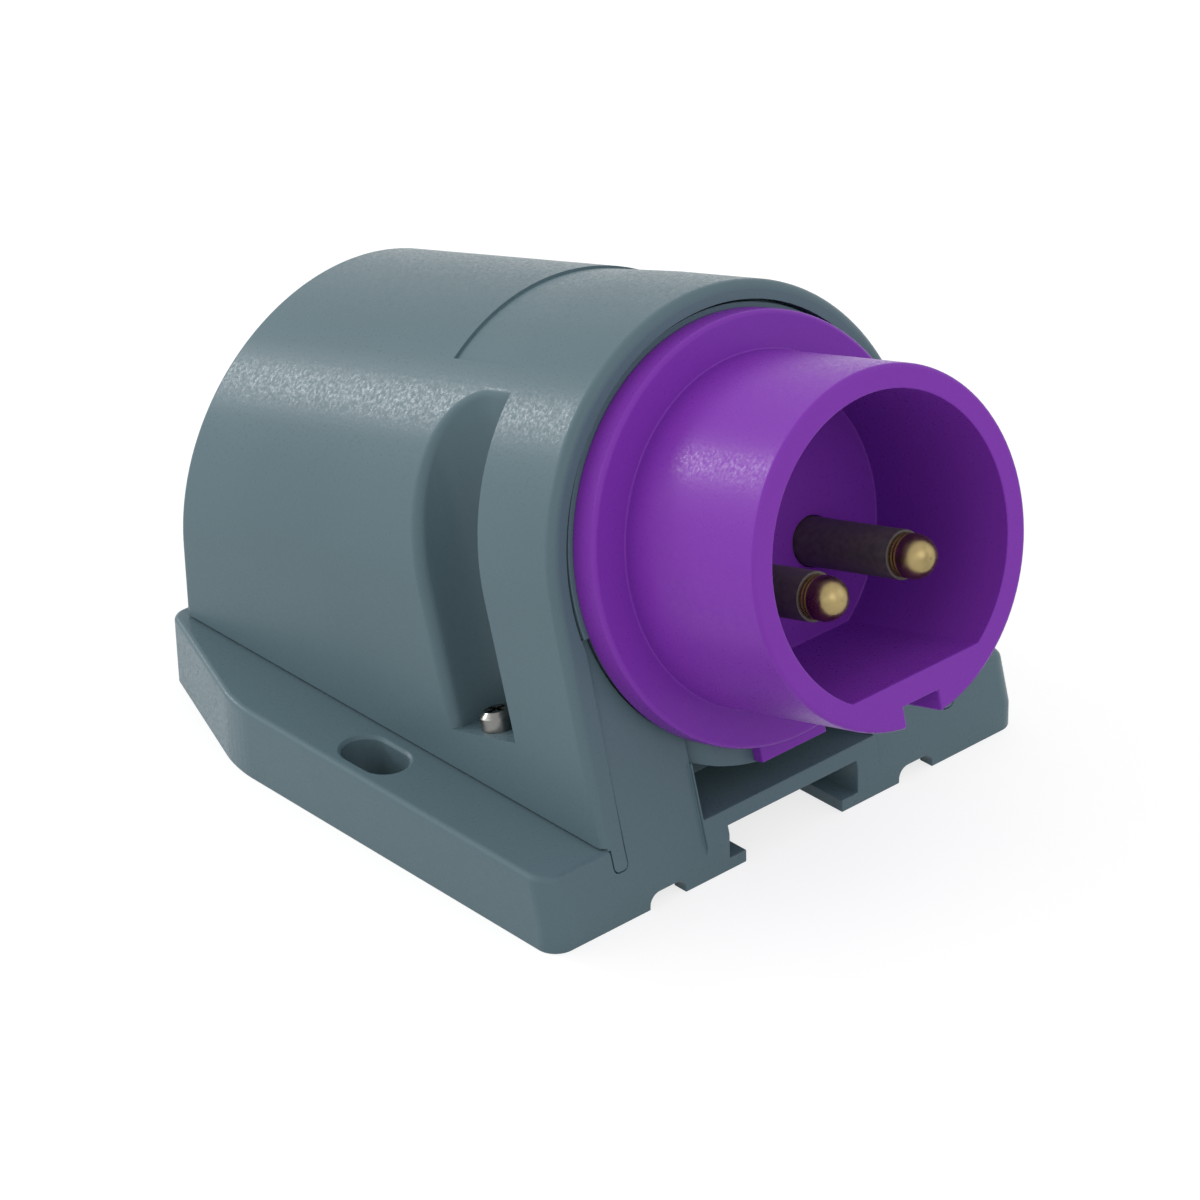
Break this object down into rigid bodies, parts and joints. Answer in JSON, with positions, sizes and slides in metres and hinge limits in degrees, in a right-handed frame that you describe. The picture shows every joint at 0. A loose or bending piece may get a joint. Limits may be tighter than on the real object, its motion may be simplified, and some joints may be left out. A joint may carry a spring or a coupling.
{
  "type": "cee wall inlet",
  "caption": "Surface-mounting wall inlet for a round pin-and-sleeve connector: grey housing on a flanged base, with a keyed violet shroud round sleeved contact pins that lean off the wall.",
  "frame": {"origin": "On the wall face, midway between the sides and the two ends of the base plate", "axes": "+Z out of the wall, -Y the way the inlet points, leaning 15 degrees off the wall, +Y towards the cable entry, X across"},
  "size_m": [0.0794, 0.1073, 0.0689],
  "materials": {
    "housing_grey": "fine satin grain",
    "inlet_violet": "fine satin grain",
    "carrier_black": "matte",
    "contact_brass": "turned, slightly dull",
    "seal_rubber": "matte",
    "screw_steel": "zinc plated"
  },
  "bodies": {
    "root": {"base": "housing_grey", "cover": "housing_grey", "insert_collar": "housing_grey", "cord_clamp": "housing_grey", "inlet_shroud": "inlet_violet", "contact_carrier": "carrier_black", "sleeve_left": "carrier_black", "sleeve_right": "carrier_black", "contact_left": "contact_brass", "contact_right": "contact_brass", "cover_gasket": "seal_rubber", "insert_seal": "seal_rubber", "cable_grommet": "seal_rubber", "cover_screw_left": "screw_steel", "cover_screw_right": "screw_steel", "carrier_screw_lower": "screw_steel", "carrier_screw_upper": "screw_steel", "terminal_screw_left": "screw_steel", "terminal_screw_right": "screw_steel", "cord_clamp_screw_left": "screw_steel", "cord_clamp_screw_right": "screw_steel"}
  },
  "joints": []
}
